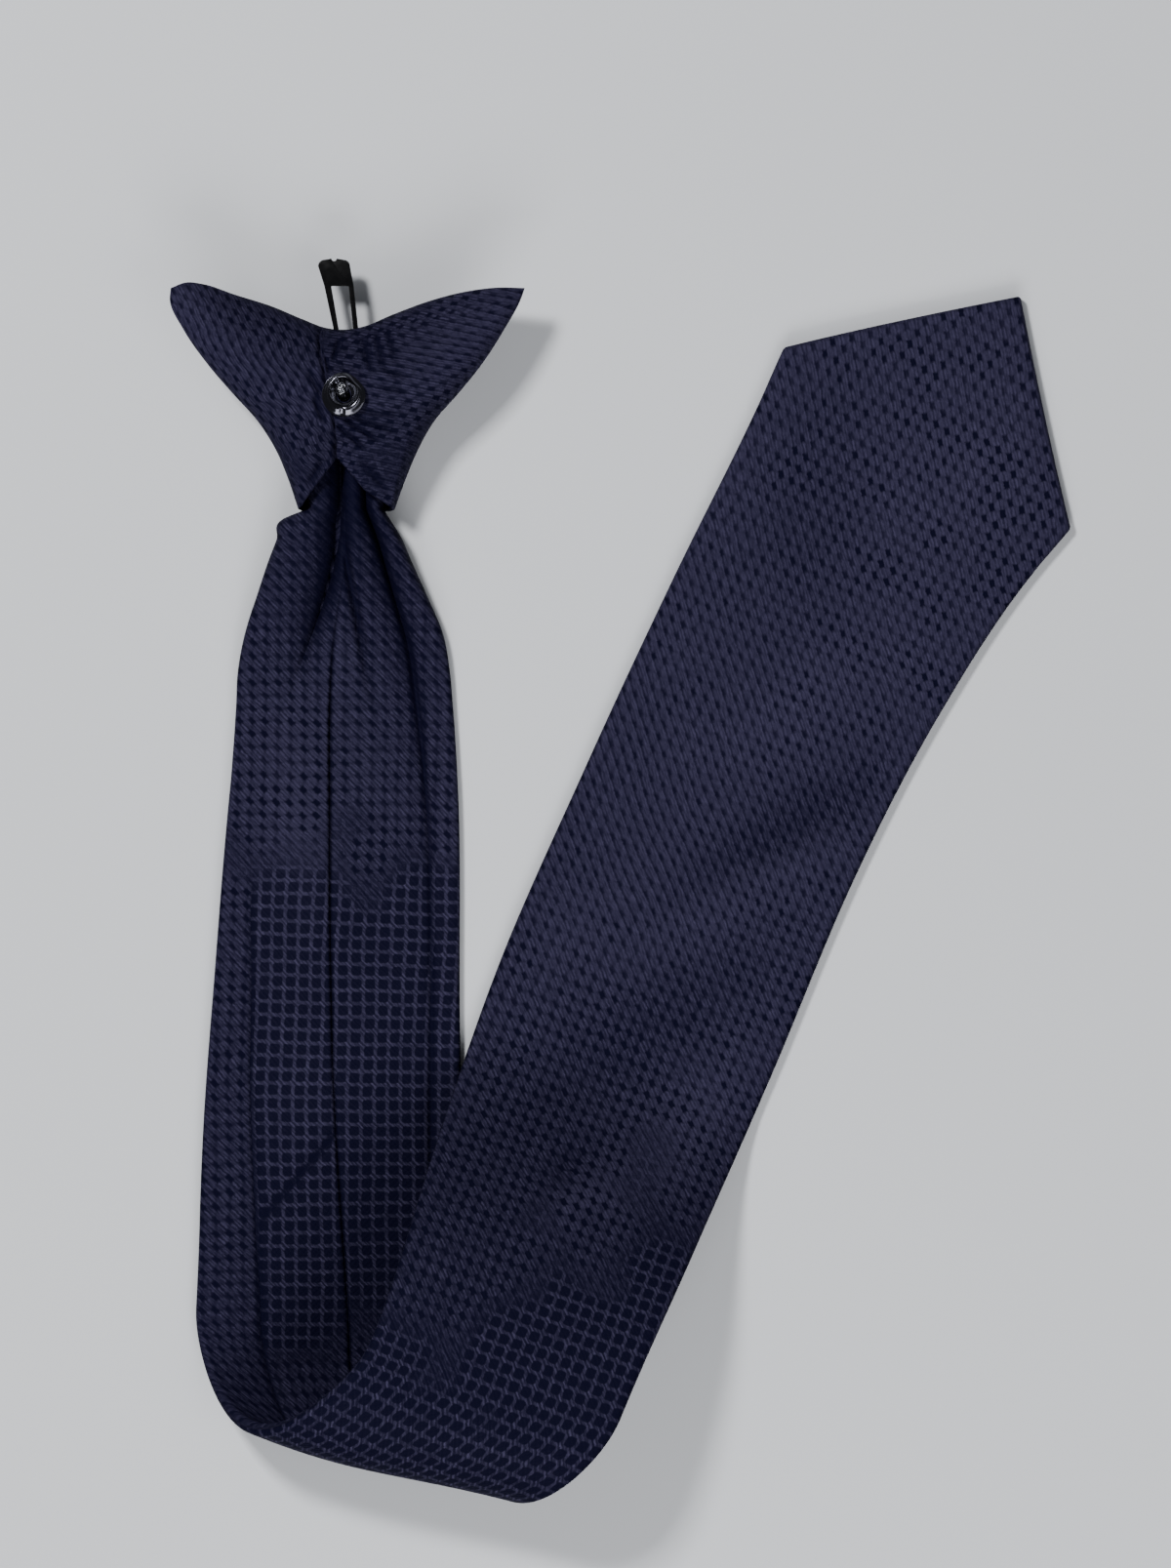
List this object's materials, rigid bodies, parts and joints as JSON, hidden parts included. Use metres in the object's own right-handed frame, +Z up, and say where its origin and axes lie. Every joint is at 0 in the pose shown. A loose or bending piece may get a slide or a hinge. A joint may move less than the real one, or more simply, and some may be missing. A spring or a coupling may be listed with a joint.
{
  "type": "clip on tie",
  "caption": "Ready-knotted clip on necktie lying face down and folded once, with a padded hollow knot, a lapped and pointed bias-cut blade, and a riveted clip",
  "frame": {"origin": "Middle of the bounding box in plan, on the surface the tie lies on.", "axes": "+Z up out of the surface, +Y from the fold towards the knot and the clip, +X from the knot towards the point of the blade."},
  "size_m": [0.2116, 0.2922, 0.0328],
  "materials": {
    "tie_cloth": "navy polyester jacquard, small checked satin cells, woven and cut on the bias",
    "clip_lacquer": "glossy black lacquer on stamped steel",
    "rivet_black": "black nickel, polished"
  },
  "bodies": {
    "root": {"tie_strip": "tie_cloth", "knot_cover": "tie_cloth", "clip": "clip_lacquer", "rivet_cap": "rivet_black", "rivet_shank": "rivet_black"}
  },
  "joints": []
}
